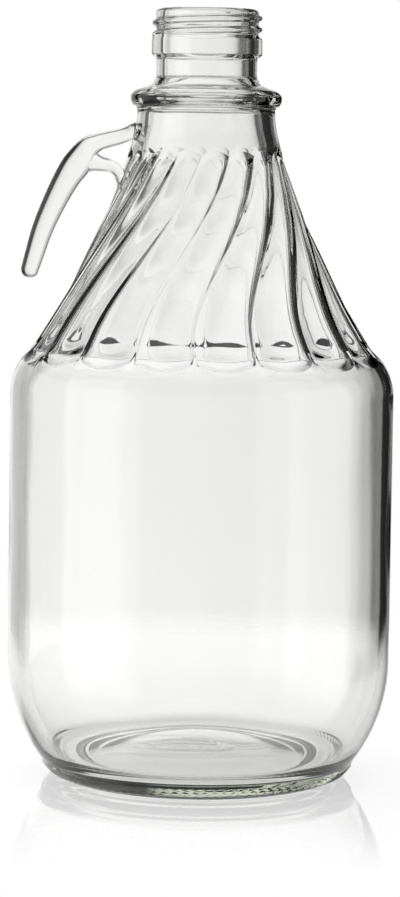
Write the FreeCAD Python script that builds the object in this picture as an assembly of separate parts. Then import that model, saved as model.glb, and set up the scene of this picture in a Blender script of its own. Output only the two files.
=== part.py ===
"""A clear glass demijohn of about two litres: one piece of moulded glass.

A round body on a rounded heel carries a conical shoulder of spiral flutes, a collar, a carrying ring, a neck with a
pilfer band, and a hook handle whose free end hangs beside the shoulder. Millimetres, +Z up, standing on z = 0, axis on
the Z axis, handle towards -X.
"""
import FreeCAD, Part
import math
import os

V = FreeCAD.Vector

# ---- Driving sizes: body ------------------------------------------------------------------------
BODY_R = 66.6            # outside radius of the round body
HEEL_TOP = 41.5          # height where the heel curve becomes the straight wall
HEEL_ROUND = 58.0        # radius of the heel curve
FOOT_ROUND = 7.0         # radius between heel and bearing ring
BEARING_W = 2.4          # width of the flat ring the glass stands on
PUNT_ROUND = 2.5         # inner rounding of the bearing ring
PUNT_RISE = 6.0          # rise of the hollow under the base, above that rounding
WALL_TOP = 133.0         # height where the straight wall becomes the shoulder
SHOULDER_ROUND = 20.0    # radius of the shoulder's turn
SHOULDER_TURN = 46.0     # degrees of that turn before the flutes take over

# ---- Driving sizes: fluted cone -----------------------------------------------------------------
CONE_RISE = 68.0         # height of the cone between shoulder and collar
COLLAR_FOOT_R = 27.0     # outside radius where the cone meets the collar
CONE_SAG = 2.5           # how far the ridges hollow in from a straight cone
FLUTES = 18              # channels around the cone
FLUTE_TWIST = 40.0       # degrees a ridge turns between the shoulder and the collar
FLUTE_START = -2.4       # degrees from the front to the nearest ridge at the shoulder
FLUTE_DEPTH = 0.034      # depth of a channel below the line between its ridges, over the radius
STRAIGHT_PART = 0.12     # share of the cone, from below, on which a ridge hardly turns
SCOOP_LOW = 1.20         # how much a channel flares per mm below the shoulder's end, where it runs out on a ledge
SCOOP_LOW_H = 0.6        # height above the shoulder's end where that starts
SCOOP_SOFT = 1.0         # height in which the flare comes in
SCOOP_HIGH = 0.093       # the same at the collar
SCOOP_HIGH_H = 1.9       # depth below the collar where that starts

# ---- Driving sizes: collar, carrying ring, neck -------------------------------------------------
COLLAR_H = 15.2          # collar height up to the ring's fillet
COLLAR_R = 23.9          # outside radius at the collar's waist
COLLAR_LEAN = 18.2       # degrees the collar leans in at its foot
RING_R = 26.2            # outside radius of the carrying ring
RING_H = 4.75            # height of its rounded edge
RING_FILLET = 1.95       # height of the fillet below it
NECK_R = 17.45           # outside radius of the plain neck
NECK_SWEEP = 5.7         # height of the curve from the ring in to the neck
NECK_H = 5.9             # height of the plain neck
BAND_R = 19.15           # outside radius of the pilfer band
BAND_H = 5.4             # height of its straight face
BAND_SLOPE = 1.35        # height of the slopes above and below it
RIM_R = 17.75            # outside radius of the finish between the band and the lip
FINISH_H = 9.0           # height of the finish above the band
LIP_ROUND = 1.4          # outer rounding of the lip
LIP_INNER_ROUND = 1.0    # inner rounding of the lip

# ---- Driving sizes: glass thickness -------------------------------------------------------------
BORE_R = 14.6            # radius of the bore through the finish
BORE_H = 27.0            # length of the straight bore
BODY_WALL = 3.4          # wall of the body
FLUTE_WALL = 3.1         # least wall under the channels
HEEL_GLASS = 5.4         # glass over the bearing ring
HOLLOW_HEEL = 52.0       # radius of the heel curve inside
TROUGH_ROUND = 9.0       # radius between that curve and the floor
BASE_GLASS = 3.6         # glass at the middle of the base

# ---- Driving sizes: hook handle -----------------------------------------------------------------
# Stations along each bar of the handle: distance out from the collar's foot, height above it, half width in the plane
# of the hook, half thickness across that plane.
HOOK_BAR = [
    (-6.0, 9.5, 2.6, 4.3),
    (-2.4, 8.7, 2.35, 4.15),
    (0.2, 7.15, 2.55, 4.0),
    (3.7, 6.05, 2.8, 3.9),
    (7.6, 5.05, 2.95, 3.9),
    (10.5, 4.15, 3.15, 4.0),
    (13.6, 2.2, 4.1, 4.3),
    (17.4, -3.2, 5.0, 4.5),
    (20.7, -8.1, 4.6, 4.6),
    (24.9, -16.3, 4.15, 4.5),
    (29.0, -25.9, 3.75, 4.2),
    (32.0, -35.7, 3.35, 3.7),
    (33.3, -40.0, 3.1, 3.4),
]
BRACE_BAR = [
    (1.2, -10.4, 2.3, 4.1),
    (2.2, -7.4, 2.1, 4.0),
    (3.9, -5.1, 2.15, 3.9),
    (6.2, -3.8, 2.25, 3.8),
    (9.5, -3.1, 2.75, 3.8),
    (13.5, -2.0, 4.2, 3.8),
]
BAR_CORNER = 0.62        # rounding of the bars' corners, over the smaller half size
TIP_STEPS = 4            # sections that close the free end to a round

# ---- Sizes that follow --------------------------------------------------------------------------
HEEL_AXIS = BODY_R - HEEL_ROUND
FOOT_AXIS = HEEL_AXIS + math.sqrt((HEEL_ROUND - FOOT_ROUND) ** 2 - (HEEL_TOP - FOOT_ROUND) ** 2)
BEARING_R = FOOT_AXIS - BEARING_W / 2.0
PUNT_R = FOOT_AXIS - BEARING_W - PUNT_ROUND
WALL_INSIDE = BODY_R - BODY_WALL
HOLLOW_AXIS = WALL_INSIDE - HOLLOW_HEEL
TROUGH = HOLLOW_HEEL - TROUGH_ROUND
TROUGH_R = HOLLOW_AXIS + math.sqrt(TROUGH ** 2 - (HEEL_TOP - HEEL_GLASS - TROUGH_ROUND) ** 2)
SHOULDER_AXIS = BODY_R - SHOULDER_ROUND
CONE_FOOT_R = SHOULDER_AXIS + SHOULDER_ROUND * math.cos(math.radians(SHOULDER_TURN))
CONE_FOOT = WALL_TOP + SHOULDER_ROUND * math.sin(math.radians(SHOULDER_TURN))
CONE_TOP = CONE_FOOT + CONE_RISE
COLLAR_TOP = CONE_TOP + COLLAR_H
RING_FOOT = COLLAR_TOP + RING_FILLET
RING_TOP = RING_FOOT + RING_H
NECK_FOOT = RING_TOP + NECK_SWEEP
BAND_FOOT = NECK_FOOT + NECK_H
BAND_TOP = BAND_FOOT + 2 * BAND_SLOPE + BAND_H
HEIGHT = BAND_TOP + FINISH_H
CHORD = math.hypot(CONE_FOOT_R - COLLAR_FOOT_R, CONE_RISE)
RIDGE_ROUND = (CHORD ** 2 / 4.0 + CONE_SAG ** 2) / (2.0 * CONE_SAG)


def point(r, z):
    """A point of a turned profile: radius and height."""
    return V(r, 0, z)


def line(p, q):
    return Part.LineSegment(point(*p), point(*q)).toShape()


def arc(p, middle, q):
    return Part.Arc(point(*p), point(*middle), point(*q)).toShape()


def arc_about(centre, radius, start, end):
    """An arc of a turned profile about a centre, between two angles in degrees from the outward direction."""
    at = [math.radians(start + (end - start) * share) for share in (0.0, 0.5, 1.0)]
    return arc(*[(centre[0] + radius * math.cos(a), centre[1] + radius * math.sin(a)) for a in at])


def bend(p, run, q):
    """The arc from p, leaving in a unit direction, to q, and its direction at q."""
    chord = (q - p).normalize()
    length = q.distanceToPoint(p)
    after = chord * (2.0 * run.dot(chord)) - run
    if run.dot(chord) > 1.0 - 1e-9:
        return Part.LineSegment(p, q).toShape(), after
    middle = p + (run + chord) * (length / (2.0 * (1.0 + run.dot(chord))))
    return Part.Arc(p, middle, q).toShape(), after


def flow(nodes):
    """A smooth run of arcs through nodes, two between each pair; a node is radius, height, direction in degrees."""
    edges = []
    for start, end in zip(nodes, nodes[1:]):
        p = point(start[0], start[1])
        q = point(end[0], end[1])
        leave = point(math.cos(math.radians(start[2])), math.sin(math.radians(start[2])))
        reach = point(math.cos(math.radians(end[2])), math.sin(math.radians(end[2])))
        span = q - p
        turn = 2.0 * (1.0 - leave.dot(reach))
        along = span.dot(leave + reach)
        if turn < 1e-9:
            size = span.dot(span) / (4.0 * span.dot(reach))
        else:
            size = (math.sqrt(along ** 2 + turn * span.dot(span)) - along) / turn
        joint = (p + q + (leave - reach) * size) * 0.5
        first, run = bend(p, leave, joint)
        second, _ = bend(joint, run, q)
        edges += [first, second]
    return edges


def turned(edges):
    """The solid that a profile of edges, closed along the axis, sweeps around the Z axis."""
    first = edges[0].Vertexes[0].Point
    last = edges[-1].Vertexes[-1].Point
    closing = Part.LineSegment(last, first).toShape()
    wire = Part.Wire(Part.__sortEdges__(edges + [closing]))
    return Part.Solid(Part.Face(wire).revolve(V(0, 0, 0), V(0, 0, 1), 360))


def ridge_radius(z):
    """Radius of the ridges' envelope at a height: an arc hollowed in from the straight cone."""
    across = (CONE_FOOT_R - COLLAR_FOOT_R) / CHORD
    up = CONE_RISE / CHORD
    reach = RIDGE_ROUND - CONE_SAG
    centre_r = (CONE_FOOT_R + COLLAR_FOOT_R) / 2.0 + reach * up
    centre_z = (CONE_FOOT + CONE_TOP) / 2.0 + reach * across
    return centre_r - math.sqrt(RIDGE_ROUND ** 2 - (z - centre_z) ** 2)


def channel_radius(z):
    """Radius the ridges would have at a height if the channels went on, scooping out at both ends."""
    low = max(0.0, CONE_FOOT + SCOOP_LOW_H - z)
    high = max(0.0, z - CONE_TOP + SCOOP_HIGH_H)
    return ridge_radius(z) + SCOOP_LOW * low ** 2 / (low + SCOOP_SOFT) + SCOOP_HIGH * high ** 2


def floor_radius(z):
    """Radius of the bottom of a channel at a height."""
    return channel_radius(z) * (math.cos(math.pi / FLUTES) - FLUTE_DEPTH)


def ridge_angle(z):
    """Direction of the first ridge at a height, in degrees about +Z from +X."""
    share = (z - CONE_FOOT) / CONE_RISE
    turn = max(0.0, (share - STRAIGHT_PART) / (1.0 - STRAIGHT_PART))
    return FLUTE_START - 90.0 + FLUTE_TWIST * turn * turn * (2.0 - turn)


def channel_section(z, number):
    """The closed outline of one channel's cutter at a height: the scoop, two sides and a back clear of the glass."""
    angle = math.radians(ridge_angle(z) + (number + 0.5) * 360.0 / FLUTES)
    out = V(math.cos(angle), math.sin(angle), 0)
    side = V(-math.sin(angle), math.cos(angle), 0)
    ridge = channel_radius(z)
    half = ridge * math.sin(math.pi / FLUTES)
    depth = ridge * FLUTE_DEPTH
    radius = (half ** 2 + depth ** 2) / (2.0 * depth)
    centre = out * (floor_radius(z) + radius) + V(0, 0, z)
    lean = math.asin(1.08 * half / radius)
    scoop = []
    for at in (-lean, 0.0, lean):
        scoop.append(centre - out * (radius * math.cos(at)) + side * (radius * math.sin(at)))
    back = ridge + 2.0 * CONE_SAG + 3.0
    far = out * back + V(0, 0, z)
    wide = side * (1.15 * back * math.tan(math.pi / FLUTES))
    edges = [
        Part.Arc(*scoop).toShape(),
        Part.LineSegment(scoop[2], far + wide).toShape(),
        Part.LineSegment(far + wide, far - wide).toShape(),
        Part.LineSegment(far - wide, scoop[0]).toShape(),
    ]
    return Part.Wire(edges)


def channel_heights():
    """Heights of a cutter's sections: close together at both ends, where the channel scoops out."""
    low = [CONE_FOOT + h for h in (-7.6, -5.4, -3.6, -2.0, -0.7, 0.6, 2.4)]
    high = [CONE_TOP + 4.6 - 1.85 * i for i in range(5)]
    first = low[-1]
    last = high[-1]
    steps = 9
    between = [first + (last - first) * i / steps for i in range(1, steps)]
    return low + between + high[::-1]


def channel(number):
    """The cutter of one channel, a twisted bar that runs out at both ends."""
    return Part.makeLoft([channel_section(z, number) for z in channel_heights()], True, False)


def outer_form():
    """The glass without its hollow, its channels and its handle."""
    heel_end = -math.degrees(math.asin((HEEL_TOP - FOOT_ROUND) / (HEEL_ROUND - FOOT_ROUND)))
    dome_r = (PUNT_R ** 2 + PUNT_RISE ** 2) / (2.0 * PUNT_RISE)
    dome_half = PUNT_R / 2.0
    dome_drop = dome_r - math.sqrt(dome_r ** 2 - dome_half ** 2)
    sweep = RING_R - NECK_R
    edges = [
        arc((0, PUNT_ROUND + PUNT_RISE), (dome_half, PUNT_ROUND + PUNT_RISE - dome_drop), (PUNT_R, PUNT_ROUND)),
        arc_about((PUNT_R + PUNT_ROUND, PUNT_ROUND), PUNT_ROUND, 180.0, 270.0),
        line((PUNT_R + PUNT_ROUND, 0), (FOOT_AXIS, 0)),
        arc_about((FOOT_AXIS, FOOT_ROUND), FOOT_ROUND, -90.0, heel_end),
        arc_about((HEEL_AXIS, HEEL_TOP), HEEL_ROUND, heel_end, 0.0),
        line((BODY_R, HEEL_TOP), (BODY_R, WALL_TOP)),
        arc_about((SHOULDER_AXIS, WALL_TOP), SHOULDER_ROUND, 0.0, SHOULDER_TURN),
        line((CONE_FOOT_R, CONE_FOOT), (COLLAR_FOOT_R, CONE_TOP)),
    ]
    edges += flow([
        (COLLAR_FOOT_R, CONE_TOP, 90.0 + COLLAR_LEAN),
        (COLLAR_R, COLLAR_TOP, 90.0),
        (RING_R - 1.3, RING_FOOT, 15.0),
        (RING_R - 0.35, RING_FOOT + 0.23 * RING_H, 65.0),
        (RING_R, RING_FOOT + 0.63 * RING_H, 90.0),
        (RING_R - 0.95, RING_TOP, 135.0),
        (NECK_R + 0.54 * sweep, RING_TOP + 0.24 * NECK_SWEEP, 163.0),
        (NECK_R + 0.14 * sweep, RING_TOP + 0.57 * NECK_SWEEP, 130.0),
        (NECK_R, NECK_FOOT, 90.0),
    ])
    edges += [
        line((NECK_R, NECK_FOOT), (NECK_R, BAND_FOOT)),
        line((NECK_R, BAND_FOOT), (BAND_R, BAND_FOOT + BAND_SLOPE)),
        line((BAND_R, BAND_FOOT + BAND_SLOPE), (BAND_R, BAND_TOP - BAND_SLOPE)),
        line((BAND_R, BAND_TOP - BAND_SLOPE), (RIM_R, BAND_TOP)),
        line((RIM_R, BAND_TOP), (RIM_R, HEIGHT - LIP_ROUND)),
        arc_about((RIM_R - LIP_ROUND, HEIGHT - LIP_ROUND), LIP_ROUND, 0.0, 90.0),
        line((RIM_R - LIP_ROUND, HEIGHT), (0, HEIGHT)),
    ]
    return turned(edges)


def hollow():
    """The space inside the glass, from the base to above the lip."""
    floor = PUNT_ROUND + PUNT_RISE + BASE_GLASS
    slope = (CONE_FOOT_R - COLLAR_FOOT_R) / CONE_RISE
    wall = FLUTE_WALL * math.hypot(1.0, slope)
    bore_foot = HEIGHT - BORE_H
    trough_end = -math.degrees(math.asin((HEEL_TOP - HEEL_GLASS - TROUGH_ROUND) / TROUGH))
    nodes = [(WALL_INSIDE, WALL_TOP, 90.0)]
    for share in (0.07, 0.36, 0.66, 0.94):
        z = CONE_FOOT + share * CONE_RISE
        lean = math.degrees(math.atan(floor_radius(z - 0.5) - floor_radius(z + 0.5)))
        nodes.append((floor_radius(z) - wall, z, 90.0 + lean))
    nodes.append((0.5 * (COLLAR_R + BORE_R) - 0.5, CONE_TOP + 0.42 * COLLAR_H, 109.0))
    nodes.append((BORE_R, bore_foot, 90.0))
    edges = flow([(0, floor, 0.0), (TROUGH_R, HEEL_GLASS, 0.0)])
    edges += [
        arc_about((TROUGH_R, HEEL_GLASS + TROUGH_ROUND), TROUGH_ROUND, -90.0, trough_end),
        arc_about((HOLLOW_AXIS, HEEL_TOP), HOLLOW_HEEL, trough_end, 0.0),
        line((WALL_INSIDE, HEEL_TOP), (WALL_INSIDE, WALL_TOP)),
    ]
    edges += flow(nodes)
    edges += [
        line((BORE_R, bore_foot), (BORE_R, HEIGHT - LIP_INNER_ROUND)),
        arc_about((BORE_R + LIP_INNER_ROUND, HEIGHT - LIP_INNER_ROUND), LIP_INNER_ROUND, 180.0, 90.0),
        line((BORE_R + LIP_INNER_ROUND, HEIGHT), (BORE_R + LIP_INNER_ROUND, HEIGHT + 2.0)),
        line((BORE_R + LIP_INNER_ROUND, HEIGHT + 2.0), (0, HEIGHT + 2.0)),
    ]
    return turned(edges)


def bar_section(centre, along, half_width, half_thickness):
    """One rounded section of a bar of the handle, square to its run in the plane of the hook."""
    across = V(0, 1, 0)
    wide = across.cross(along)
    corner = BAR_CORNER * min(half_width, half_thickness)
    ends = []
    for a, b in ((1, 1), (-1, 1), (-1, -1), (1, -1)):
        hub = centre + wide * (a * (half_width - corner)) + across * (b * (half_thickness - corner))
        at_side = hub + wide * (a * corner)
        at_face = hub + across * (b * corner)
        middle = hub + (wide * a + across * b) * (corner * math.sqrt(0.5))
        ends.append((at_side, middle, at_face) if a * b > 0 else (at_face, middle, at_side))
    edges = []
    for i in range(4):
        edges.append(Part.Arc(*ends[i]).toShape())
        edges.append(Part.LineSegment(ends[i][2], ends[(i + 1) % 4][0]).toShape())
    return Part.Wire(edges)


def bar(stations, round_tip):
    """A bar of the handle through its stations, with the far end closed to a round if asked."""
    centres = [V(-COLLAR_FOOT_R - out, 0, CONE_TOP + up) for out, up, _, _ in stations]
    runs = []
    for i in range(len(centres)):
        before = centres[max(0, i - 1)]
        after = centres[min(len(centres) - 1, i + 1)]
        runs.append((after - before).normalize())
    sections = []
    for centre, along, (_, _, width, thickness) in zip(centres, runs, stations):
        sections.append(bar_section(centre, along, width, thickness))
    if round_tip:
        width, thickness = stations[-1][2:]
        for i in range(1, TIP_STEPS + 1):
            angle = math.radians(83.0 * i / TIP_STEPS)
            centre = centres[-1] + runs[-1] * (width * math.sin(angle))
            sections.append(bar_section(centre, runs[-1], width * math.cos(angle), thickness * math.cos(angle)))
    return Part.makeLoft(sections, True, False)


def demijohn():
    """The whole piece of glass: fluted form and handle in one, hollowed out last."""
    glass = outer_form()
    for first in (0, 1):
        # Every other channel at a time, so that cutters side by side don't meet in one cut.
        glass = glass.cut([channel(number) for number in range(first, FLUTES, 2)])
    handle = bar(HOOK_BAR, True).fuse(bar(BRACE_BAR, False))
    return glass.fuse(handle).cut(hollow())


def main():
    os.makedirs("parts", exist_ok=True)
    shape = demijohn()
    solid = shape.Solids[0]
    solid.exportStep("parts/demijohn.step")
    print("solids", len(shape.Solids), "valid", solid.isValid(), "closed", solid.isClosed())
    print("glass cm3", round(solid.Volume / 1000.0, 1), "holds cm3", round(hollow().Volume / 1000.0, 1))
    box = solid.BoundBox
    print("box", [round(v, 2) for v in (box.XMin, box.XMax, box.YMin, box.YMax, box.ZMin, box.ZMax)])
    print("faces", len(solid.Faces))


main()
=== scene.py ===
"""Dresses the clear glass demijohn: one piece of moulded flint glass on a pale glossy floor.

The glass is turned from one profile that runs over the outside, round the lip and down the inside. Its
rings are then shaped: spiral flutes on the shoulder, a screw thread on the finish and stippling on the
bearing ring. The hook handle is drawn from its own sections and joined to the wall, so that the whole is one
closed skin.
"""

import logging
import math
from dataclasses import dataclass, field
from enum import Enum

import bmesh
import bpy
from mathutils import Matrix, Vector, noise


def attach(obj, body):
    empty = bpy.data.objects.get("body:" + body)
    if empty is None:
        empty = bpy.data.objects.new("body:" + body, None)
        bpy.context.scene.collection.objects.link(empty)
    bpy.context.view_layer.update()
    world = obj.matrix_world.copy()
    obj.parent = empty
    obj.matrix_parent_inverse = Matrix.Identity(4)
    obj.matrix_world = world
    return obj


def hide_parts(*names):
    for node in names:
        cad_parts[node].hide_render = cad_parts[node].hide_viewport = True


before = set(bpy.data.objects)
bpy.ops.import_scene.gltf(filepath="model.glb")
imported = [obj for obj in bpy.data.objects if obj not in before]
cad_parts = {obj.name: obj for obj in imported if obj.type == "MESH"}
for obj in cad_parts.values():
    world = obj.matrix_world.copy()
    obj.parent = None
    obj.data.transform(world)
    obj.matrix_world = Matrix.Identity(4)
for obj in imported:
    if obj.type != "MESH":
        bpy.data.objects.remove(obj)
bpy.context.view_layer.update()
LOG = logging.getLogger("demijohn")
MM = 0.001
WELD = 2e-6
SEARCH_STEPS = 30


def linear(hex_colour: str) -> tuple[float, float, float]:
    """Turn an sRGB hex colour into linear light.

    Args:
        hex_colour: six hex digits, with or without a hash.

    Returns:
        Red, green and blue, each 0 to 1.
    """
    digits = hex_colour.lstrip("#")
    out = []
    for i in (0, 2, 4):
        value = int(digits[i : i + 2], 16) / 255.0
        out.append(value / 12.92 if value <= 0.04045 else ((value + 0.055) / 1.055) ** 2.4)
    return tuple(out)


def add_node(
    tree: bpy.types.NodeTree,
    kind: str,
    settings: dict[str, object] | None = None,
    values: dict[str | int, object] | None = None,
    links: dict[str | int, bpy.types.NodeSocket] | None = None,
) -> bpy.types.Node:
    """Add a shader node with its settings, socket values and incoming links.

    Args:
        tree: the node tree.
        kind: the node's type name.
        settings: attributes of the node.
        values: values of input sockets, by name or number.
        links: sockets that feed input sockets, by name or number.

    Returns:
        The new node.
    """
    node = tree.nodes.new(kind)
    for name, value in (settings or {}).items():
        setattr(node, name, value)
    for key, value in (values or {}).items():
        node.inputs[key].default_value = value
    for key, socket in (links or {}).items():
        tree.links.new(socket, node.inputs[key])
    return node


def blend(a: float, b: float, share: float) -> float:
    """The value at a share of the way from a to b."""
    return a + (b - a) * share


def ease(share: float) -> float:
    """A share from 0 to 1, slowed at both ends."""
    share = min(1.0, max(0.0, share))
    return share * share * (3.0 - 2.0 * share)


def arc_points(
    centre: tuple[float, float], radius: float, start: float, end: float, steps: int
) -> list[tuple[float, float]]:
    """Points along an arc of a turned profile.

    Args:
        centre: radius and height of the arc's centre, in mm.
        radius: the arc's radius, in mm.
        start: first direction in degrees from outward.
        end: last direction in degrees from outward.
        steps: number of steps between them.

    Returns:
        Radius and height of each point, in mm.
    """
    points = []
    for i in range(steps + 1):
        angle = math.radians(blend(start, end, i / steps))
        points.append((centre[0] + radius * math.cos(angle), centre[1] + radius * math.sin(angle)))
    return points


def smooth_points(knots: list[tuple[float, ...]], steps: int) -> list[tuple[float, ...]]:
    """Points along a smooth curve through knots of any width.

    Args:
        knots: the values to pass through.
        steps: number of steps between each pair of knots.

    Returns:
        The values along the curve, both ends included.
    """
    padded = [tuple(2 * a - b for a, b in zip(knots[0], knots[1]))] + list(knots)
    padded.append(tuple(2 * a - b for a, b in zip(knots[-1], knots[-2])))
    out = []
    for i in range(1, len(padded) - 2):
        p0, p1, p2, p3 = padded[i - 1 : i + 3]
        for k in range(steps):
            t = k / steps
            row = []
            for a, b, c, d in zip(p0, p1, p2, p3):
                square = (2 * a - 5 * b + 4 * c - d) * t * t
                cube = (3 * b - a - 3 * c + d) * t**3
                row.append(0.5 * (2 * b + (c - a) * t + square + cube))
            out.append(tuple(row))
    out.append(tuple(knots[-1]))
    return out


def bend_points(p: Vector, run: Vector, q: Vector, step: float) -> tuple[list[Vector], Vector]:
    """Points along the arc that leaves p in a direction and ends at q.

    Args:
        p: first point of a turned profile: radius and height.
        run: unit direction at p.
        q: last point.
        step: degrees between points.

    Returns:
        The points after p, q included, and the direction at q.
    """
    chord = (q - p).normalized()
    lean = math.atan2(run.x * chord.y - run.y * chord.x, run.dot(chord))
    after = chord * (2.0 * run.dot(chord)) - run
    count = max(1, math.ceil(math.degrees(abs(2.0 * lean)) / step))
    length = (q - p).length
    points = []
    for i in range(1, count):
        part = 2.0 * lean * i / count
        far = length * (math.sin(part / 2.0) / math.sin(lean) if abs(lean) > 1e-6 else i / count)
        way = Matrix.Rotation(part / 2.0, 2) @ run
        points.append(p + way * far)
    return points + [q], after


def flow_points(nodes: list[tuple[float, float, float]], step: float) -> list[tuple[float, float]]:
    """Points along a smooth run of arcs through nodes, two arcs between each pair.

    Args:
        nodes: radius, height and direction in degrees of each node.
        step: degrees of turn between points.

    Returns:
        Radius and height of each point, both ends included.
    """
    points = [Vector(nodes[0][:2])]
    for start, end in zip(nodes, nodes[1:]):
        p, q = Vector(start[:2]), Vector(end[:2])
        leave = Vector((math.cos(math.radians(start[2])), math.sin(math.radians(start[2]))))
        reach = Vector((math.cos(math.radians(end[2])), math.sin(math.radians(end[2]))))
        span = q - p
        turn = 2.0 * (1.0 - leave.dot(reach))
        along = span.dot(leave + reach)
        if turn < 1e-9:
            size = span.dot(span) / (4.0 * span.dot(reach))
        else:
            size = (math.sqrt(along**2 + turn * span.dot(span)) - along) / turn
        joint = (p + q + (leave - reach) * size) * 0.5
        first, run = bend_points(p, leave, joint, step)
        second, _ = bend_points(joint, run, q, step)
        points += first + second
    return [(v.x, v.y) for v in points]


class Zone(Enum):
    """The form that a ring of the glass follows."""

    PLAIN = "plain"
    KNURL = "knurl"
    SHOULDER = "shoulder"
    FLUTE = "flute"
    COLLAR = "collar"
    FINISH = "finish"
    INSIDE = "inside"


@dataclass(frozen=True)
class Row:
    """One ring of the glass before it is shaped, in mm, or by its share of the way up its zone."""

    zone: Zone
    r: float = 1.0
    z: float = 0.0
    share: float = 0.0


@dataclass(frozen=True)
class Flutes:
    """The spiral channels of the conical shoulder, in mm and degrees."""

    count: int = 18
    columns: int = 11
    foot_r: float = 60.493
    foot_z: float = 147.387
    top_r: float = 27.0
    rise: float = 68.0
    sag: float = 2.5
    twist: float = 40.0
    start: float = -2.4
    depth: float = 0.034
    straight_part: float = 0.12
    scoop_low: float = 1.20
    scoop_low_h: float = 0.6
    scoop_soft: float = 1.0
    scoop_high: float = 0.093
    scoop_high_h: float = 1.9
    blunting: float = 0.30
    blunt_width: float = 0.8
    gather: float = 0.62
    follow_low: float = 5.0
    follow_low_fade: float = 7.0
    follow_high: float = 7.0
    follow_high_fade: float = 9.0
    follow_round: float = 0.25

    @property
    def top_z(self) -> float:
        """Height where the channels end at the collar."""
        return self.foot_z + self.rise

    def ridge_radius(self, z: float) -> float:
        """Radius of the ridges' envelope at a height.

        Args:
            z: the height, in mm.

        Returns:
            The radius, in mm.
        """
        chord = math.hypot(self.foot_r - self.top_r, self.rise)
        bend = (chord**2 / 4.0 + self.sag**2) / (2.0 * self.sag)
        reach = bend - self.sag
        centre_r = (self.foot_r + self.top_r) / 2.0 + reach * self.rise / chord
        centre_z = (self.foot_z + self.top_z) / 2.0 + reach * (self.foot_r - self.top_r) / chord
        return centre_r - math.sqrt(max(0.0, bend**2 - (z - centre_z) ** 2))

    def channel_radius(self, z: float) -> float:
        """Radius that the ridges would have if the channels went on, scooping out at both ends.

        Args:
            z: the height, in mm.

        Returns:
            The radius, in mm.
        """
        low = max(0.0, self.foot_z + self.scoop_low_h - z)
        high = max(0.0, z - self.top_z + self.scoop_high_h)
        flare = self.scoop_low * low**2 / (low + self.scoop_soft)
        return self.ridge_radius(z) + flare + self.scoop_high * high**2

    def floor_radius(self, z: float) -> float:
        """Radius of the bottom of a channel at a height."""
        return self.channel_radius(z) * (math.cos(math.pi / self.count) - self.depth)

    def ridge_angle(self, z: float) -> float:
        """Direction of the first ridge at a height.

        Args:
            z: the height, in mm.

        Returns:
            The direction, in degrees.
        """
        share = (z - self.foot_z) / self.rise
        turn = min(1.0, max(0.0, (share - self.straight_part) / (1.0 - self.straight_part)))
        return self.start - 90.0 + self.twist * turn * turn * (2.0 - turn)

    def across(self, column: int, gather: float) -> float:
        """Place of a column across its channel, 0 to 1, with columns gathered towards the ridges."""
        share = (column % self.columns) / self.columns
        return share - gather * math.sin(2.0 * math.pi * share) / (2.0 * math.pi)

    def radius(self, z: float, across: float) -> float:
        """Radius of the channelled surface.

        Args:
            z: the height, in mm.
            across: the place across the channel, 0 to 1.

        Returns:
            The radius, in mm.
        """
        ridge = self.channel_radius(z)
        half = ridge * math.sin(math.pi / self.count)
        depth = ridge * self.depth
        bend = (half**2 + depth**2) / (2.0 * depth)
        centre = self.floor_radius(z) + bend
        turn = (across - 0.5) * 2.0 * math.pi / self.count
        aside = centre * math.sin(turn)
        found = centre * math.cos(turn) - math.sqrt(max(0.0, bend**2 - aside**2))
        edge = min(across, 1.0 - across) * 2.0 * math.pi / self.count * ridge
        return found - self.blunting * math.exp(-((edge / self.blunt_width) ** 2))

    def follow(self, z: float, across: float, amount: float) -> float:
        """How far the inside of the wall bulges out behind a ridge, as blown glass follows its mould.

        Args:
            z: the height, in mm.
            across: the place across the channel, 0 to 1.
            amount: the share of the ridge's height that shows inside.

        Returns:
            The bulge, in mm.
        """
        low = ease((z - self.foot_z + self.follow_low) / self.follow_low_fade)
        high = ease((z - self.top_z + self.follow_high) / self.follow_high_fade)
        fade = low * (1.0 - high)
        height = self.channel_radius(z) - self.floor_radius(z)
        side = abs(2.0 * across - 1.0)
        bulge = (side**2 - self.follow_round * side**8) / (1.0 - self.follow_round)
        return amount * height * fade * bulge


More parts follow.
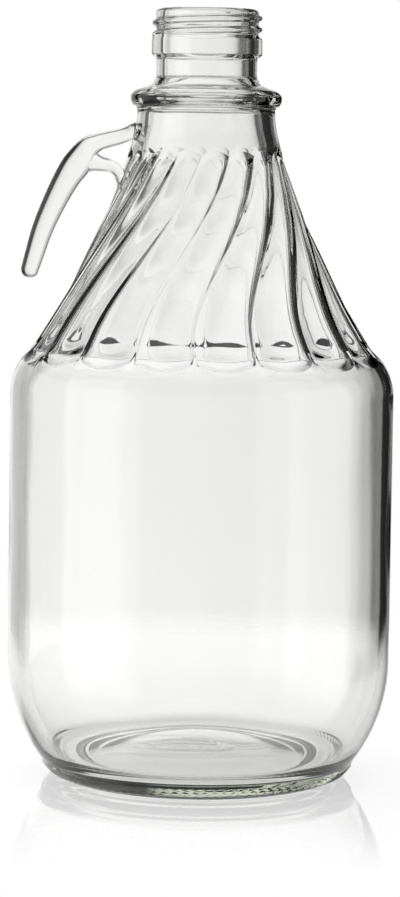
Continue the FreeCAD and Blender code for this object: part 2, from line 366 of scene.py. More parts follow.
@dataclass(frozen=True)
class OuterForm:
    """Sizes of the outside of the glass, in mm."""

    body_r: float = 66.56
    heel_top: float = 41.5
    heel_round: float = 58.0
    foot_round: float = 7.0
    bearing_w: float = 2.4
    punt_round: float = 2.5
    punt_rise: float = 6.0
    wall_top: float = 133.0
    shoulder_round: float = 20.0
    collar_h: float = 15.2
    collar_r: float = 23.9
    collar_lean: float = 0.36
    collar_curve: float = 1.62
    ring_r: float = 26.2
    ring_h: float = 4.75
    ring_fillet: float = 1.95
    neck_r: float = 17.45
    neck_sweep: float = 5.7
    neck_h: float = 5.9
    band_r: float = 19.15
    band_h: float = 5.4
    band_slope: float = 1.35
    rim_r: float = 17.75
    finish_h: float = 8.999
    lip_round: float = 1.4
    lip_inner_round: float = 1.0

    @property
    def heel_axis(self) -> float:
        """Radius at which the heel curve is centred."""
        return self.body_r - self.heel_round

    @property
    def foot_axis(self) -> float:
        """Radius at which the foot's rounding is centred."""
        reach = self.heel_round - self.foot_round
        return self.heel_axis + math.sqrt(reach**2 - (self.heel_top - self.foot_round) ** 2)

    @property
    def heel_end(self) -> float:
        """Direction in degrees where the heel curve meets the foot's rounding."""
        reach = self.heel_round - self.foot_round
        return -math.degrees(math.asin((self.heel_top - self.foot_round) / reach))

    @property
    def punt_r(self) -> float:
        """Radius of the hollow under the base."""
        return self.foot_axis - self.bearing_w - self.punt_round

    def shoulder_radius(self, z: float) -> float:
        """Radius of the rounded shoulder at a height.

        Args:
            z: the height, in mm.

        Returns:
            The radius, in mm.
        """
        up = min(z - self.wall_top, self.shoulder_round)
        axis = self.body_r - self.shoulder_round
        return axis + math.sqrt(max(0.0, self.shoulder_round**2 - max(0.0, up) ** 2))

    def collar_radius(self, z: float, foot_z: float, foot_r: float) -> float:
        """Radius of the collar.

        Args:
            z: the height, in mm.
            foot_z: the height at which the flutes end, in mm.
            foot_r: the radius there, in mm.

        Returns:
            The radius, in mm.
        """
        share = min(1.0, (z - foot_z) / self.collar_h)
        if share < 0.0:
            return foot_r - self.collar_lean * (z - foot_z)
        return self.collar_r + (foot_r - self.collar_r) * (1.0 - share) ** self.collar_curve


@dataclass(frozen=True)
class InnerForm:
    """Sizes of the hollow of the glass, in mm."""

    bore_r: float = 14.6
    bore_h: float = 24.5
    body_wall: float = 3.4
    flute_wall: float = 3.1
    heel_glass: float = 7.6
    heel_round: float = 52.0
    trough_round: float = 9.0
    base_glass: float = 3.2
    shoulder_turn: float = 43.0
    collar_wall: float = 4.0
    follow: float = 0.88
    gather: float = 0.40
    ripple: float = 0.15
    ripple_low: float = 8.0
    ripple_high: float = 236.0
    ripple_length: float = 55.0
    ripple_scale: float = 2.3


@dataclass(frozen=True)
class Thread:
    """The screw thread of the finish: a rounded bead that climbs to the right, in mm."""

    low: float = 256.8
    pitch: float = 3.9
    turns: float = 1.8
    start: float = 150.0
    height: float = 1.3
    half_width: float = 1.25
    fullness: float = 0.8
    run_out: float = 0.08
    into_band: float = 1.2

    def rise_at(self, angle: float, z: float) -> float:
        """How far the bead stands out of the finish.

        Args:
            angle: the direction, in degrees.
            z: the height, in mm.

        Returns:
            The rise, in mm.
        """
        best = 0.0
        base = (angle - self.start) % 360.0 / 360.0
        for lap in range(math.ceil(self.turns)):
            turn = base + lap
            if turn > self.turns:
                continue
            away = abs(z - self.low - self.pitch * turn) / self.half_width
            fade = ease(turn / self.run_out) * ease((self.turns - turn) / self.run_out)
            if away < 1.0:
                best = max(best, self.height * fade * (1.0 - away * away) ** self.fullness)
        return best


@dataclass(frozen=True)
class Knurl:
    """The stippled rows over the bearing ring, staggered from column to column, in mm."""

    depth: float = 0.90
    pitch: float = 1.9
    low: float = 1.3
    low_fade: float = 0.7
    high: float = 5.9
    high_fade: float = 0.8
    heel_turn: float = 7.0

    def offset(self, out: Vector, z: float, column: int) -> Vector:
        """How far a point of the stippling stands out of the glass.

        Args:
            out: the outward direction.
            z: the height, in mm.
            column: the column's number.

        Returns:
            The shift, in mm.
        """
        lift = ease((z - self.low) / self.low_fade) * ease((self.high - z) / self.high_fade)
        wave = 0.5 - 0.5 * math.cos(2.0 * math.pi * z / self.pitch)
        stagger = wave if column % 2 else 1.0 - wave
        normal = (out * 0.85 + Vector((0.0, 0.0, -0.5))).normalized()
        return normal * self.depth * lift * stagger


@dataclass
class GlassShell:
    """The turned glass without its handle: outside, lip and inside in one closed skin."""

    outer: OuterForm = field(default_factory=OuterForm)
    inner: InnerForm = field(default_factory=InnerForm)
    flutes: Flutes = field(default_factory=Flutes)
    thread: Thread = field(default_factory=Thread)
    knurl: Knurl = field(default_factory=Knurl)
    flute_rings: int = 84
    flute_crowding: float = 0.55
    collar_blend: float = 4.4

    @property
    def segments(self) -> int:
        """Number of columns around the glass."""
        return self.flutes.count * self.flutes.columns

    @property
    def levels(self) -> dict[str, float]:
        """Heights of the collar, ring, neck, band and lip, in mm."""
        o = self.outer
        collar_top = self.flutes.top_z + o.collar_h
        ring_foot = collar_top + o.ring_fillet
        ring_top = ring_foot + o.ring_h
        neck_foot = ring_top + o.neck_sweep
        band_foot = neck_foot + o.neck_h
        band_top = band_foot + 2 * o.band_slope + o.band_h
        return {
            "collar_top": collar_top,
            "ring_foot": ring_foot,
            "ring_top": ring_top,
            "neck_foot": neck_foot,
            "band_foot": band_foot,
            "band_top": band_top,
            "height": band_top + o.finish_h,
        }

    def base_rows(self) -> list[Row]:
        """Rings under the base, over the bearing ring and up the heel.

        Returns:
            The rings, from the middle of the base.
        """
        o = self.outer
        top = o.punt_round + o.punt_rise
        dome = (o.punt_r**2 + o.punt_rise**2) / (2.0 * o.punt_rise)
        rows = []
        for i in range(11):
            r = o.punt_r * i / 11
            rows.append(Row(Zone.PLAIN, r, top - dome + math.sqrt(dome**2 - r**2)))
        ring = arc_points((o.punt_r + o.punt_round, o.punt_round), o.punt_round, 180.0, 270.0, 6)
        rows += [Row(Zone.PLAIN, r, z) for r, z in ring]
        foot = arc_points((o.foot_axis, o.foot_round), o.foot_round, -90.0, o.heel_end, 8)
        rows += [Row(Zone.KNURL, r, z) for r, z in foot[:-1]]
        stippled = o.heel_end + self.knurl.heel_turn
        low = arc_points((o.heel_axis, o.heel_top), o.heel_round, o.heel_end, stippled, 11)
        rows += [Row(Zone.KNURL, r, z) for r, z in low]
        heel = arc_points((o.heel_axis, o.heel_top), o.heel_round, stippled, 0.0, 26)
        rows += [Row(Zone.PLAIN, r, z) for r, z in heel[1:]]
        return rows

    def wall_rows(self) -> list[Row]:
        """Rings up the body wall, the shoulder, the flutes and the foot of the collar.

        Returns:
            The rings, from the top of the heel.
        """
        o = self.outer
        rows = []
        for i in range(1, 12):
            rows.append(Row(Zone.PLAIN, o.body_r, blend(o.heel_top, o.wall_top, i / 12)))
        for share in (0.0, 0.2, 0.4, 0.58, 0.72, 0.84, 0.93, 0.98):
            rows.append(Row(Zone.SHOULDER, share=share))
        for i in range(self.flute_rings + 1):
            share = i / self.flute_rings
            share = share - self.flute_crowding * math.sin(2.0 * math.pi * share) / (2.0 * math.pi)
            rows.append(Row(Zone.FLUTE, share=share))
        for share in (0.04, 0.12, 0.3, 0.6, 1.0):
            rows.append(Row(Zone.COLLAR, share=share))
        return rows

    def neck_rows(self) -> list[Row]:
        """Rings from the collar over the carrying ring, the neck, the band and the thread to the lip.

        Returns:
            The rings, from the collar.
        """
        o = self.outer
        at = self.levels
        top = self.flutes.top_z
        rows = []
        for i in range(9):
            z = blend(top + 5.0, at["collar_top"], i / 8)
            rows.append(Row(Zone.FINISH, o.collar_radius(z, top, self.flutes.top_r), z))
        swing = o.ring_r - o.neck_r
        nodes = [
            (o.collar_r, at["collar_top"], 90.0),
            (o.ring_r - 1.3, at["ring_foot"], 15.0),
            (o.ring_r - 0.35, at["ring_foot"] + 0.23 * o.ring_h, 65.0),
            (o.ring_r, at["ring_foot"] + 0.63 * o.ring_h, 90.0),
            (o.ring_r - 0.95, at["ring_top"], 135.0),
            (o.neck_r + 0.54 * swing, at["ring_top"] + 0.24 * o.neck_sweep, 163.0),
            (o.neck_r + 0.14 * swing, at["ring_top"] + 0.57 * o.neck_sweep, 130.0),
            (o.neck_r, at["neck_foot"], 90.0),
        ]
        rows += [Row(Zone.FINISH, r, z) for r, z in flow_points(nodes, 9.0)[1:]]
        band = [
            (o.neck_r, at["neck_foot"] + 0.4 * o.neck_h),
            (o.neck_r, at["band_foot"] - 0.5),
            (o.neck_r, at["band_foot"] - 0.12),
            (o.neck_r + 0.14, at["band_foot"] + 0.1),
            (o.band_r - 0.22, at["band_foot"] + o.band_slope - 0.2),
            (o.band_r - 0.03, at["band_foot"] + o.band_slope + 0.08),
            (o.band_r, at["band_foot"] + o.band_slope + 0.5),
            (o.band_r, at["band_top"] - o.band_slope - 0.5),
            (o.band_r - 0.03, at["band_top"] - o.band_slope - 0.08),
            (o.band_r - 0.2, at["band_top"] - o.band_slope + 0.2),
            (o.rim_r + 0.12, at["band_top"] - 0.14),
        ]
        rows += [Row(Zone.FINISH, r, z) for r, z in band]
        steps = 22
        for i in range(steps):
            z = blend(at["band_top"] + 0.1, at["height"] - o.lip_round, i / steps)
            rows.append(Row(Zone.FINISH, o.rim_r, z))
        centre = (o.rim_r - o.lip_round, at["height"] - o.lip_round)
        lip = arc_points(centre, o.lip_round, 0.0, 90.0, 7)
        rows += [Row(Zone.FINISH, r, z) for r, z in lip]
        return rows

    def inside_rows(self) -> list[Row]:
        """Rings from the lip down the bore, the shoulder and the wall to the middle of the floor.

        Returns:
            The rings, from the lip.
        """
        o, n, f, at = self.outer, self.inner, self.flutes, self.levels
        wall = o.body_r - n.body_wall
        slope = (f.foot_r - f.top_r) / f.rise
        thick = n.flute_wall * math.hypot(1.0, slope)
        lip_z = at["height"] - o.lip_inner_round
        rows = [Row(Zone.INSIDE, r, z) for r, z in arc_points(
            (n.bore_r + o.lip_inner_round, lip_z), o.lip_inner_round, 90.0, 180.0, 5
        )]
        for i in range(1, 8):
            rows.append(Row(Zone.INSIDE, n.bore_r, blend(lip_z, at["height"] - n.bore_h, i / 8)))
        nodes = [(n.bore_r, at["height"] - n.bore_h, -90.0)]
        nodes.append((o.collar_r - n.collar_wall, at["collar_top"] - 0.5, -86.0))
        collar_z = f.top_z + 5.0
        nodes.append((o.collar_radius(collar_z, f.top_z, f.top_r) - n.collar_wall, collar_z, -76.0))
        for share in (0.94, 0.66, 0.36, 0.07):
            z = f.foot_z + share * f.rise
            lean = math.degrees(math.atan(f.floor_radius(z - 0.5) - f.floor_radius(z + 0.5)))
            nodes.append((f.floor_radius(z) - thick, z, lean - 90.0))
        turn = math.radians(n.shoulder_turn)
        inner_round = o.shoulder_round - n.body_wall
        nodes.append((
            o.body_r - o.shoulder_round + inner_round * math.cos(turn),
            o.wall_top + inner_round * math.sin(turn),
            n.shoulder_turn - 90.0,
        ))
        nodes.append((wall, o.wall_top, -90.0))
        for r, z in flow_points(nodes, 2.0)[:-1]:
            rows.append(Row(Zone.INSIDE, r, z))
        for i in range(9):
            rows.append(Row(Zone.INSIDE, wall, blend(o.wall_top, o.heel_top, i / 9)))
        axis = wall - n.heel_round
        reach = n.heel_round - n.trough_round
        drop = o.heel_top - n.heel_glass - n.trough_round
        end = -math.degrees(math.asin(drop / reach))
        heel = arc_points((axis, o.heel_top), n.heel_round, 0.0, end, 14)
        trough_r = axis + math.sqrt(reach**2 - drop**2)
        centre = (trough_r, n.heel_glass + n.trough_round)
        heel += arc_points(centre, n.trough_round, end, -90.0, 7)[1:]
        floor = o.punt_round + o.punt_rise + n.base_glass
        heel += flow_points([(trough_r, n.heel_glass, 180.0), (0.0, floor, 180.0)], 2.0)[1:]
        rows += [Row(Zone.INSIDE, max(0.0, r), z) for r, z in heel]
        return rows

    def leave_height(self, column: int, top: bool) -> float:
        """Height at which a column's channel runs out.

        Args:
            column: the column's number.
            top: whether at the collar, or else at the shoulder.

        Returns:
            The height, in mm.
        """
        f = self.flutes
        across = f.across(column, f.gather)

        def inside(z: float) -> bool:
            """Whether the channel lies inside the collar or the shoulder.

            Args:
                z: the height, in mm.

            Returns:
                True where the channel cuts in.
            """
            if top:
                return f.radius(z, across) < self.outer.collar_radius(z, f.top_z, f.top_r)
            return f.radius(z, across) < self.outer.shoulder_radius(z)

        near, far = (f.top_z - 6.0, f.top_z + 5.0) if top else (f.foot_z + 3.0, f.foot_z - 9.0)
        for _ in range(SEARCH_STEPS):
            middle = (near + far) / 2.0
            if inside(middle):
                near = middle
            else:
                far = middle
        return near

    def place(self, row: Row, column: int, lows: list[float], highs: list[float]) -> Vector:
        """Where a ring's point in a column ends up.

        Args:
            row: the ring.
            column: the column's number.
            lows: the heights at which the channel's columns leave the shoulder, in mm.
            highs: the heights at which they reach the collar, in mm.

        Returns:
            The point, in mm.
        """
        f, o = self.flutes, self.outer
        pitch = 360.0 / f.count
        channel, local = divmod(column, f.columns)
        base = f.start - 90.0
        r, z = row.r, row.z
        gather = 0.0
        if row.zone is Zone.SHOULDER:
            z = blend(o.wall_top, lows[local], row.share)
            r = o.shoulder_radius(z)
            gather = f.gather * row.share
        elif row.zone is Zone.FLUTE:
            z = blend(lows[local], highs[local], row.share)
            gather = f.gather
            r = f.radius(z, f.across(column, gather))
            base = f.ridge_angle(z)
        elif row.zone is Zone.COLLAR:
            z = blend(highs[local], f.top_z + self.collar_blend, row.share)
            r = o.collar_radius(z, f.top_z, f.top_r)
            gather = f.gather * (1.0 - row.share)
            base += f.twist
        elif row.zone is Zone.FINISH:
            base += f.twist
        elif row.zone is Zone.INSIDE:
            base = f.ridge_angle(z)
            gather = self.inner.gather
            r += f.follow(z, f.across(column, gather), self.inner.follow)
        angle = base + pitch * (channel + f.across(column, gather))
        if row.zone is Zone.FINISH and z > self.levels["band_top"] - self.thread.into_band:
            r += self.thread.rise_at(angle, z)
        n = self.inner
        if row.zone is Zone.INSIDE and n.ripple_low < z < n.ripple_high:
            height = z / n.ripple_length
            spot = Vector((math.cos(math.radians(angle)), math.sin(math.radians(angle)), height))
            r += n.ripple * noise.noise(spot * n.ripple_scale)
        out = Vector((math.cos(math.radians(angle)), math.sin(math.radians(angle)), 0.0))
        point = out * r + Vector((0.0, 0.0, z))
        if row.zone is Zone.KNURL:
            point += self.knurl.offset(out, z, column)
        return point

    def build(self) -> bmesh.types.BMesh:
        """Spin the profile and shape its rings.

        Returns:
            The closed shell in metres, with its faces pointing outwards.
        """
        rows = self.base_rows() + self.wall_rows() + self.neck_rows() + self.inside_rows()
        bm = bmesh.new()
        layer = bm.verts.layers.int.new("row")
        verts = []
        for i, row in enumerate(rows):
            vert = bm.verts.new((0.0 if row.r == 0.0 else 1.0 + 0.001 * i, 0.0, float(i)))
            vert[layer] = i
            verts.append(vert)
        edges = [bm.edges.new(pair) for pair in zip(verts, verts[1:])]
        bmesh.ops.spin(
            bm,
            geom=verts + edges,
            cent=(0.0, 0.0, 0.0),
            axis=(0.0, 0.0, 1.0),
            angle=2.0 * math.pi,
            steps=self.segments,
            use_merge=True,
        )
        bmesh.ops.remove_doubles(bm, verts=bm.verts, dist=1e-5)
        lows = [self.leave_height(i, False) for i in range(self.flutes.columns)]
        highs = [self.leave_height(i, True) for i in range(self.flutes.columns)]
        for vert in bm.verts:
            row = rows[round(vert.co.z)]
            turn = math.atan2(vert.co.y, vert.co.x) / (2.0 * math.pi) * self.segments
            column = round(turn) % self.segments
            vert.co = self.place(row, column, lows, highs) * MM
        bmesh.ops.recalc_face_normals(bm, faces=bm.faces)
        return bm


@dataclass(frozen=True)
class Station:
    """A section of a bar of the handle: its place from the top of the flutes and its half sizes, in mm."""

    out: float
    up: float
    half_width: float
    half_thickness: float


HOOK = (
    Station(-6.0, 9.5, 2.6, 4.3),
    Station(-2.4, 8.7, 2.35, 4.15),
    Station(0.2, 7.15, 2.55, 4.0),
    Station(3.7, 6.05, 2.8, 3.9),
    Station(7.6, 5.05, 2.95, 3.9),
    Station(10.5, 4.15, 3.15, 4.0),
    Station(13.6, 2.2, 4.1, 4.3),
    Station(17.4, -3.2, 5.0, 4.5),
    Station(20.7, -8.1, 4.6, 4.6),
    Station(24.9, -16.3, 4.15, 4.5),
    Station(29.0, -25.9, 3.75, 4.2),
    Station(32.0, -35.7, 3.35, 3.7),
    Station(33.3, -40.0, 3.1, 3.4),
)
BRACE = (
    Station(1.2, -10.4, 2.3, 4.1),
    Station(2.2, -7.4, 2.1, 4.0),
    Station(3.9, -5.1, 2.15, 3.9),
    Station(6.2, -3.8, 2.25, 3.8),
    Station(9.5, -3.1, 2.75, 3.8),
    Station(13.5, -2.0, 4.2, 3.8),
)


@dataclass
class HookHandle:
    """The hook handle: a tapering bar that hangs free at its tip, and a short brace back to the shoulder."""

    root_r: float = 27.0
    root_z: float = 215.387
    sides: int = 40
    squareness: float = 3.0
    bar_steps: int = 5
    tip_steps: int = 7
    tip_turn: float = 86.0

    def section(
        self, centre: Vector, along: Vector, width: float, thickness: float, column: int
    ) -> Vector:
        """A point of an oval section.

        Args:
            centre: the section's centre, in mm.
            along: the bar's direction there.
            width: the half width, in mm.
            thickness: the half thickness, in mm.
            column: the point's number round the section.

        Returns:
            The point, in mm.
        """
        angle = 2.0 * math.pi * column / self.sides
        power = 2.0 / self.squareness
        wide = Vector((0.0, 1.0, 0.0)).cross(along).normalized()
        a = math.copysign(abs(math.cos(angle)) ** power, math.cos(angle)) * width
        b = math.copysign(abs(math.sin(angle)) ** power, math.sin(angle)) * thickness
        return centre + wide * a + Vector((0.0, 1.0, 0.0)) * b

    def bar(self, stations: tuple[Station, ...], round_tip: bool, name: str) -> bpy.types.Object:
        """Draw one bar through its stations.

        Args:
            stations: its sections, from the root.
            round_tip: whether the far end closes to a round.
            name: the object's name.

        Returns:
            The bar as a closed mesh object.
        """
        knots = [
            (-self.root_r - s.out, self.root_z + s.up, s.half_width, s.half_thickness) for s in stations
        ]
        path = smooth_points(knots, self.bar_steps)
        centres = [Vector((x, 0.0, z)) for x, z, _, _ in path]
        sections = []
        for i, (_, _, width, thickness) in enumerate(path):
            along = (centres[min(i + 1, len(path) - 1)] - centres[max(i - 1, 0)]).normalized()
            sections.append((centres[i], along, width, thickness))
        if round_tip:
            centre, along, width, thickness = sections[-1]
            for i in range(1, self.tip_steps + 1):
                angle = math.radians(self.tip_turn * i / self.tip_steps)
                scale = math.cos(angle)
                place = centre + along * (width * math.sin(angle))
                sections.append((place, along, width * scale, thickness * scale))
        bm = bmesh.new()
        layer = bm.verts.layers.int.new("column")
        ring = bmesh.ops.create_circle(bm, cap_ends=True, segments=self.sides, radius=1.0)["verts"]
        for vert in ring:
            turn = math.atan2(vert.co.y, vert.co.x) / (2.0 * math.pi) * self.sides
            vert[layer] = round(turn) % self.sides
        edges = [e for e in bm.edges if not e.is_wire]
        for vert in ring:
            vert.co = self.section(*sections[0], vert[layer]) * MM
        for section in sections[1:]:
            grown = bmesh.ops.extrude_edge_only(bm, edges=edges)["geom"]
            edges = [g for g in grown if isinstance(g, bmesh.types.BMEdge)]
            fresh = [g for g in grown if isinstance(g, bmesh.types.BMVert)]
            for vert in fresh:
                vert.co = self.section(*section, vert[layer]) * MM
            kept = set(fresh)
            edges = [e for e in edges if e.verts[0] in kept and e.verts[1] in kept]
        bmesh.ops.contextual_create(bm, geom=edges)
        bmesh.ops.recalc_face_normals(bm, faces=bm.faces)
        return mesh_object(bm, name)


def mesh_object(bm: bmesh.types.BMesh, name: str) -> bpy.types.Object:
    """Put a bmesh into a smooth-shaded object of the scene and free it.

    Args:
        bm: the shape, in metres.
        name: the object's name.

    Returns:
        The object.
    """
    mesh = bpy.data.meshes.new(name)
    bm.to_mesh(mesh)
    bm.free()
    mesh.polygons.foreach_set("use_smooth", [True] * len(mesh.polygons))
    thing = bpy.data.objects.new(name, mesh)
    bpy.context.scene.collection.objects.link(thing)
    return thing


def unite(base: bpy.types.Object, others: list[bpy.types.Object]) -> None:
    """Join closed solids into one skin with no walls left inside.

    Args:
        base: the object that keeps its name and takes the result.
        others: the solids that are joined to it and then removed.
    """
    for other in others:
        joint = base.modifiers.new("join", "BOOLEAN")
        joint.operation = "UNION"
        joint.solver = "EXACT"
        joint.object = other
    depsgraph = bpy.context.evaluated_depsgraph_get()
    joined = bpy.data.meshes.new_from_object(base.evaluated_get(depsgraph))
    base.modifiers.clear()
    old = base.data
    base.data = joined
    bpy.data.meshes.remove(old)
    for other in others:
        mesh = other.data
        bpy.data.objects.remove(other)
        bpy.data.meshes.remove(mesh)
    bm = bmesh.new()
    bm.from_mesh(base.data)
    bmesh.ops.remove_doubles(bm, verts=bm.verts, dist=WELD)
    bmesh.ops.dissolve_degenerate(bm, edges=bm.edges, dist=WELD)
    bm.to_mesh(base.data)
    bm.free()
    base.data.polygons.foreach_set("use_smooth", [True] * len(base.data.polygons))


@dataclass(frozen=True)
class FlintGlass:
    """Flint (soda-lime) container glass, press-blown and fire-polished.

    It is clear and glossy, with dark edges, and faintly olive where it is thick.
    """

    name: str = "flint_container_glass"
    tint: str = "#E0E5D4"
    density: float = 15.0
    ior: float = 1.52
    roughness: float = 0.0

    def build(self) -> bpy.types.Material:
        """Make the material.

        Returns:
            The glass, with its tint in the volume.
        """
        material = bpy.data.materials.new(self.name)
        material.use_nodes = True
        tree = material.node_tree
        tree.nodes.clear()
        shader = add_node(
            tree,
            "ShaderNodeBsdfPrincipled",
            values={
                "Base Color": (1.0, 1.0, 1.0, 1.0),
                "Roughness": self.roughness,
                "IOR": self.ior,
                "Transmission Weight": 1.0,
            },
        )
        absorption = add_node(
            tree,
            "ShaderNodeVolumeAbsorption",
            values={"Color": (*linear(self.tint), 1.0), "Density": self.density},
        )
        add_node(
            tree,
            "ShaderNodeOutputMaterial",
            links={"Surface": shader.outputs["BSDF"], "Volume": absorption.outputs["Volume"]},
        )
        return material


@dataclass(frozen=True)
class Surroundings:
    """What stands round the glass in the studio: brightness by direction, clockwise from behind it.

    The eye sees plain white. The glass and the floor's gloss see these pale and dark sides instead.
    """

    around: tuple[tuple[float, float], ...] = (
        (-180.0, 0.40),
        (-146.0, 0.45),
        (-138.0, 1.00),
        (-108.0, 1.00),
        (-102.0, 0.70),
        (-92.0, 0.90),
        (-54.0, 0.95),
        (-51.0, 0.05),
        (-43.5, 0.03),
        (-40.0, 0.50),
        (-24.0, 0.62),
        (-18.0, 0.97),
        (-3.0, 0.96),
        (4.0, 0.88),
        (8.5, 0.72),
        (11.5, 0.50),
        (13.5, 0.05),
        (16.0, 0.01),
        (76.0, 0.05),
        (80.0, 1.00),
        (98.0, 1.00),
        (102.0, 0.86),
        (124.0, 0.80),
        (129.0, 0.25),
        (152.0, 0.35),
        (180.0, 0.40),
    )
    overhead: float = 0.90
    overhead_from: float = 44.0
    overhead_full: float = 60.0
    above: float = 0.42
    above_from: float = 17.0
    above_full: float = 30.0
    glow: float = 1.06
    glow_from: float = -3.0
    glow_full: float = -11.0
    below: float = 0.30
    below_from: float = -17.0
    below_full: float = -26.0

    def step(
        self,
        tree: bpy.types.NodeTree,
        height: bpy.types.NodeSocket,
        low: float,
        high: float,
        start: float,
        end: float,
    ) -> bpy.types.NodeSocket:
        """A soft step in brightness between two elevations.

        Args:
            tree: the world's nodes.
            height: the upward part of the direction.
            low: elevation in degrees where the step starts.
            high: elevation in degrees where it ends.
            start: value below it.
            end: value above it.

        Returns:
            The socket that carries the value.
        """
        found = add_node(
            tree,
            "ShaderNodeMapRange",
            {"interpolation_type": "SMOOTHSTEP"},
            values={1: math.sin(math.radians(low)), 2: math.sin(math.radians(high)), 3: start, 4: end},
            links={0: height},
        )
        return found.outputs[0]

    def build(self, scene: bpy.types.Scene) -> None:
        """Make the world: white to the eye, and these surroundings to the glass and the floor.

        Args:
            scene: the scene that takes the world.
        """
        world = bpy.data.worlds.new("studio")
        scene.world = world
        world.use_nodes = True
        tree = world.node_tree
        tree.nodes.clear()
        place = add_node(tree, "ShaderNodeTexCoord")
        axes = add_node(tree, "ShaderNodeSeparateXYZ", links={0: place.outputs["Generated"]})
        turn = add_node(
            tree,
            "ShaderNodeMath",
            {"operation": "ARCTAN2"},
            links={0: axes.outputs["X"], 1: axes.outputs["Y"]},
        )
        share = add_node(
            tree,
            "ShaderNodeMapRange",
            values={1: -math.pi, 2: math.pi, 3: 0.0, 4: 1.0},
            links={0: turn.outputs[0]},
        )
        ramp = add_node(tree, "ShaderNodeValToRGB", links={0: share.outputs[0]})
        stops = ramp.color_ramp.elements
        while len(stops) < len(self.around):
            stops.new(0.5)
        for stop, (angle, _) in zip(stops, self.around):
            stop.position = (angle + 180.0) / 360.0
        for stop, (_, level) in zip(sorted(stops, key=lambda s: s.position), self.around):
            stop.color = (level, level, level, 1.0)
        shade = add_node(
            tree,
            "ShaderNodeMath",
            {"operation": "MULTIPLY"},
            links={
                0: self.step(tree, axes.outputs["Z"], self.above_from, self.above_full, 1.0, self.above),
                1: self.step(tree, axes.outputs["Z"], self.below_full, self.below_from, self.below, 1.0),
            },
        )
        lit = add_node(
            tree,
            "ShaderNodeMath",
            {"operation": "MULTIPLY"},
            links={
                0: self.step(tree, axes.outputs["Z"], self.glow_full, self.glow_from, self.glow, 1.0),
                1: shade.outputs[0],
            },
        )
        sides = add_node(
            tree,
            "ShaderNodeVectorMath",
            {"operation": "SCALE"},
            links={0: ramp.outputs["Color"], 3: lit.outputs[0]},
        )
        high = self.step(tree, axes.outputs["Z"], self.overhead_from, self.overhead_full, 0.0, 1.0)
        level = add_node(
            tree,
            "ShaderNodeMix",
            {"data_type": "RGBA"},
            values={7: (self.overhead,) * 3 + (1.0,)},
            links={0: high, 6: sides.outputs["Vector"]},
        )
        studio = add_node(tree, "ShaderNodeBackground", links={"Color": level.outputs[2]})
        plain = {"Color": (1.0, 1.0, 1.0, 1.0), "Strength": 1.0}
        white = add_node(tree, "ShaderNodeBackground", values=plain)
        seen = add_node(tree, "ShaderNodeLightPath")
        mixed = add_node(
            tree,
            "ShaderNodeMixShader",
            links={0: seen.outputs["Is Camera Ray"], 1: studio.outputs[0], 2: white.outputs[0]},
        )
        add_node(tree, "ShaderNodeOutputWorld", links={"Surface": mixed.outputs[0]})


@dataclass(frozen=True)
class Floor:
    """A sheet of cast white acrylic under the glass, in metres.

    Its polished face mirrors the foot of the glass, and it fades to plain white further out.
    """

    radius: float = 0.45
    drop: float = 0.0001
    middle_behind: float = 0.12
    gloss_until: float = 0.182
    plain_from: float = 0.285
    colour: str = "#E4E4E4"
    own_light: float = 0.45
    ior: float = 1.60
    roughness: float = 0.03

    def build(self) -> None:
        """Make the floor as a stage piece."""
        bm = bmesh.new()
        bmesh.ops.create_circle(bm, cap_ends=True, segments=96, radius=self.radius)
        for vert in bm.verts:
            vert.co.z = -self.drop
        thing = mesh_object(bm, "studio_floor")
        material = bpy.data.materials.new("white_gloss_acrylic")
        material.use_nodes = True
        tree = material.node_tree
        tree.nodes.clear()
        place = add_node(tree, "ShaderNodeTexCoord")
        away = add_node(
            tree,
            "ShaderNodeVectorMath",
            {"operation": "DISTANCE"},
            values={1: (0.0, self.middle_behind, 0.0)},
            links={0: place.outputs["Object"]},
        )
        fade = add_node(
            tree,
            "ShaderNodeMapRange",
            {"interpolation_type": "SMOOTHSTEP"},
            values={1: self.gloss_until, 2: self.plain_from, 3: 0.0, 4: 1.0},
            links={0: away.outputs["Value"]},
        )
        gloss = add_node(
            tree,
            "ShaderNodeBsdfPrincipled",
            values={
                "Base Color": (*linear(self.colour), 1.0),
                "Roughness": self.roughness,
                "IOR": self.ior,
                "Emission Color": (1.0, 1.0, 1.0, 1.0),
                "Emission Strength": self.own_light,
            },
        )
        plain = add_node(tree, "ShaderNodeBsdfTransparent")
        mixed = add_node(
            tree,
            "ShaderNodeMixShader",
            links={0: fade.outputs[0], 1: gloss.outputs[0], 2: plain.outputs[0]},
        )
        add_node(tree, "ShaderNodeOutputMaterial", links={"Surface": mixed.outputs[0]})
        thing.data.materials.append(material)


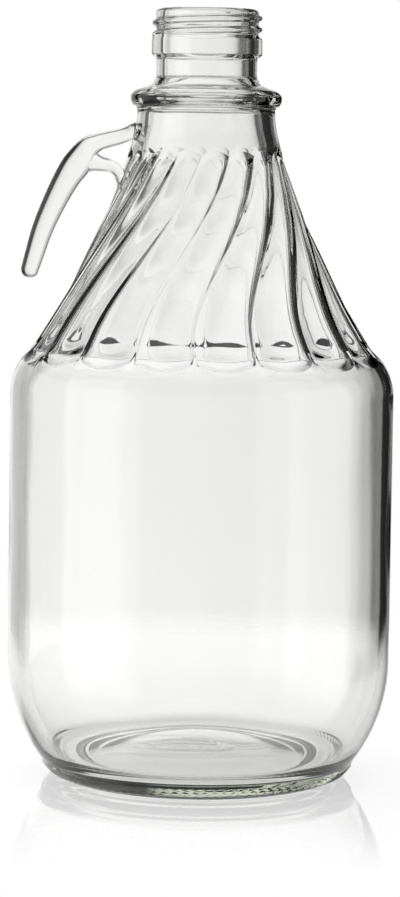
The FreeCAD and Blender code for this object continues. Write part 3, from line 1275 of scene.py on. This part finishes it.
@dataclass(frozen=True)
class Camera:
    """The camera in front of the bottle, a little above its foot, in mm and degrees."""

    distance: float = 1070.7
    height: float = 215.47
    lens: float = 123.93
    pitch: float = 3.431
    yaw: float = 0.051
    roll: float = 0.845
    shift: float = -0.12
    sensor: float = 36.0
    near: float = 10.0
    far: float = 50000.0

    def build(self, scene: bpy.types.Scene) -> None:
        """Place the camera and make it the scene's own.

        Args:
            scene: the scene that takes the camera.
        """
        data = bpy.data.cameras.new("camera")
        data.sensor_fit = "VERTICAL"
        data.sensor_height = self.sensor
        data.lens = self.lens
        data.shift_y = self.shift
        data.clip_start = self.near * MM
        data.clip_end = self.far * MM
        thing = bpy.data.objects.new("camera", data)
        turn = Matrix.Rotation(math.radians(self.yaw), 4, "Z")
        tilt = Matrix.Rotation(math.radians(90.0 - self.pitch), 4, "X")
        roll = Matrix.Rotation(math.radians(self.roll), 4, "Z")
        place = Matrix.Translation((0.0, -self.distance * MM, self.height * MM))
        thing.matrix_world = place @ turn @ tilt @ roll
        scene.collection.objects.link(thing)
        scene.camera = thing


@dataclass
class Demijohn:
    """The whole bottle: shell and handle in one piece of glass."""

    shell: GlassShell = field(default_factory=GlassShell)
    handle: HookHandle = field(default_factory=HookHandle)
    glass: FlintGlass = field(default_factory=FlintGlass)

    def build(self) -> bpy.types.Object:
        """Model and dress the bottle, in place of its plain solid.

        Returns:
            The bottle.
        """
        bottle = mesh_object(self.shell.build(), "glass_demijohn")
        hook = self.handle.bar(HOOK, True, "hook")
        brace = self.handle.bar(BRACE, False, "brace")
        unite(bottle, [hook, brace])
        bottle.data.materials.clear()
        bottle.data.materials.append(self.glass.build())
        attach(bottle, "root")
        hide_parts("demijohn")
        return bottle


def main() -> None:
    """Build the bottle, the studio and the camera."""
    logging.basicConfig(level=logging.INFO, format="%(name)s %(message)s")
    scene = bpy.context.scene
    scene.view_settings.view_transform = "Standard"
    Camera().build(scene)
    Surroundings().build(scene)
    Floor().build()
    bottle = Demijohn().build()
    LOG.info("glass: %d faces", len(bottle.data.polygons))


if __name__ == "__main__":
    main()
